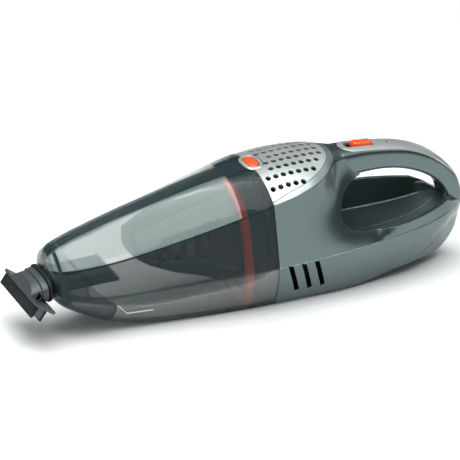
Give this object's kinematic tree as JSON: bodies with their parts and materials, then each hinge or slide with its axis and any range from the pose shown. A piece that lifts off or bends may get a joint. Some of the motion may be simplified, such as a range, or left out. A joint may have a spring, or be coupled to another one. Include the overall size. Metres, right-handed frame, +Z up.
{
  "type": "handheld vacuum",
  "caption": "Cordless wet and dry handheld vacuum with a clear dust container, squeegee nozzle, vented motor housing and bridge handle.",
  "frame": {"origin": "centre of the bounding box's underside, on the surface it rests on", "axes": "+Z up, -X towards the squeegee nozzle, +X towards the handle's tail, Y across the width"},
  "size_m": [0.4143, 0.1018, 0.1237],
  "materials": {
    "gunmetal": "satin metallic dark grey",
    "silver": "satin silver paint",
    "smoke_clear": "smoke tinted clear plastic",
    "orange": "satin orange",
    "orange_seal": "matte silicone",
    "black_rubber": "matte",
    "nozzle_plastic": "satin dark grey",
    "dark_plastic": "satin",
    "grey_plastic": "satin",
    "dark_red": "satin",
    "lamp": "clear lens",
    "filter_cloth": "pleated paper cloth",
    "steel": "zinc plated",
    "brass": "polished",
    "cell_wrap": "shrink wrap",
    "circuit_board": "solder mask"
  },
  "bodies": {
    "housing": {"housing_left": "gunmetal", "housing_right": "gunmetal", "vent_grille": "silver", "grille_rim": "silver", "button_bezel": "silver", "button_spring": "steel", "handle_strip": "silver", "switch_plate": "dark_red", "charge_light": "lamp", "housing_screw_1": "steel", "housing_screw_2": "steel", "housing_screw_3": "steel", "housing_screw_4": "steel", "housing_screw_5": "steel", "housing_screw_6": "steel", "front_screen": "dark_plastic", "fan_shroud": "dark_plastic", "motor_can": "steel", "motor_end_cap": "dark_plastic", "motor_mount": "dark_plastic", "battery_cell_1": "cell_wrap", "battery_cell_2": "cell_wrap", "battery_cell_3": "cell_wrap", "battery_cell_4": "cell_wrap", "battery_cell_5": "cell_wrap", "battery_cell_6": "cell_wrap", "battery_tray": "dark_plastic", "circuit_board": "circuit_board", "micro_switch": "dark_plastic", "charge_contact_left": "brass", "charge_contact_right": "brass"},
    "container": {"dust_container": "smoke_clear", "container_nose": "smoke_clear", "intake_duct": "dark_plastic", "mouth_seal": "black_rubber"},
    "flap": {"duct_flap": "grey_plastic"},
    "filter": {"filter_frame": "dark_plastic", "seal_ring": "orange_seal", "filter_cage": "dark_plastic", "filter_pleats": "filter_cloth"},
    "nozzle": {"nozzle_collar": "nozzle_plastic", "nozzle_body": "nozzle_plastic", "squeegee_front": "black_rubber", "squeegee_rear": "black_rubber"},
    "button": {"release_button": "orange", "release_latch": "dark_plastic"},
    "switch": {"power_switch": "orange"},
    "rotor": {"fan_impeller": "grey_plastic", "motor_shaft": "steel", "motor_rotor": "steel"}
  },
  "joints": [
    {"name": "container_slide", "type": "slide", "parent": "housing", "child": "container", "axis": [-0.995, 0, -0.0995], "range_m": [0, 0.11]},
    {"name": "filter_slide", "type": "slide", "parent": "housing", "child": "filter", "axis": [-0.995, 0, -0.0995], "range_m": [0, 0.055]},
    {"name": "duct_flap_hinge", "type": "hinge", "parent": "container", "child": "flap", "pos_m": [-0.1319, 0, 0.0592], "axis": [0, -1, 0], "range_deg": [0, 50]},
    {"name": "nozzle_slide", "type": "slide", "parent": "container", "child": "nozzle", "axis": [-0.9996, 0, -0.028], "range_m": [0, 0.04]},
    {"name": "release_button_press", "type": "slide", "parent": "housing", "child": "button", "axis": [0, 0, -1], "range_m": [0, 0.0016], "stiffness_N_per_m": 900, "springref_m": -0.0005},
    {"name": "power_switch_slide", "type": "slide", "parent": "housing", "child": "switch", "axis": [-0.9972, 0, 0.0748], "range_m": [0, 0.0055]},
    {"name": "fan_spin", "type": "hinge", "parent": "housing", "child": "rotor", "pos_m": [0.03, 0, 0.071], "axis": [1, 0, 0], "continuous": true}
  ],
  "couplings": [
    {"joint": "filter_slide", "follows": "container_slide", "ratio": 0.5}
  ]
}
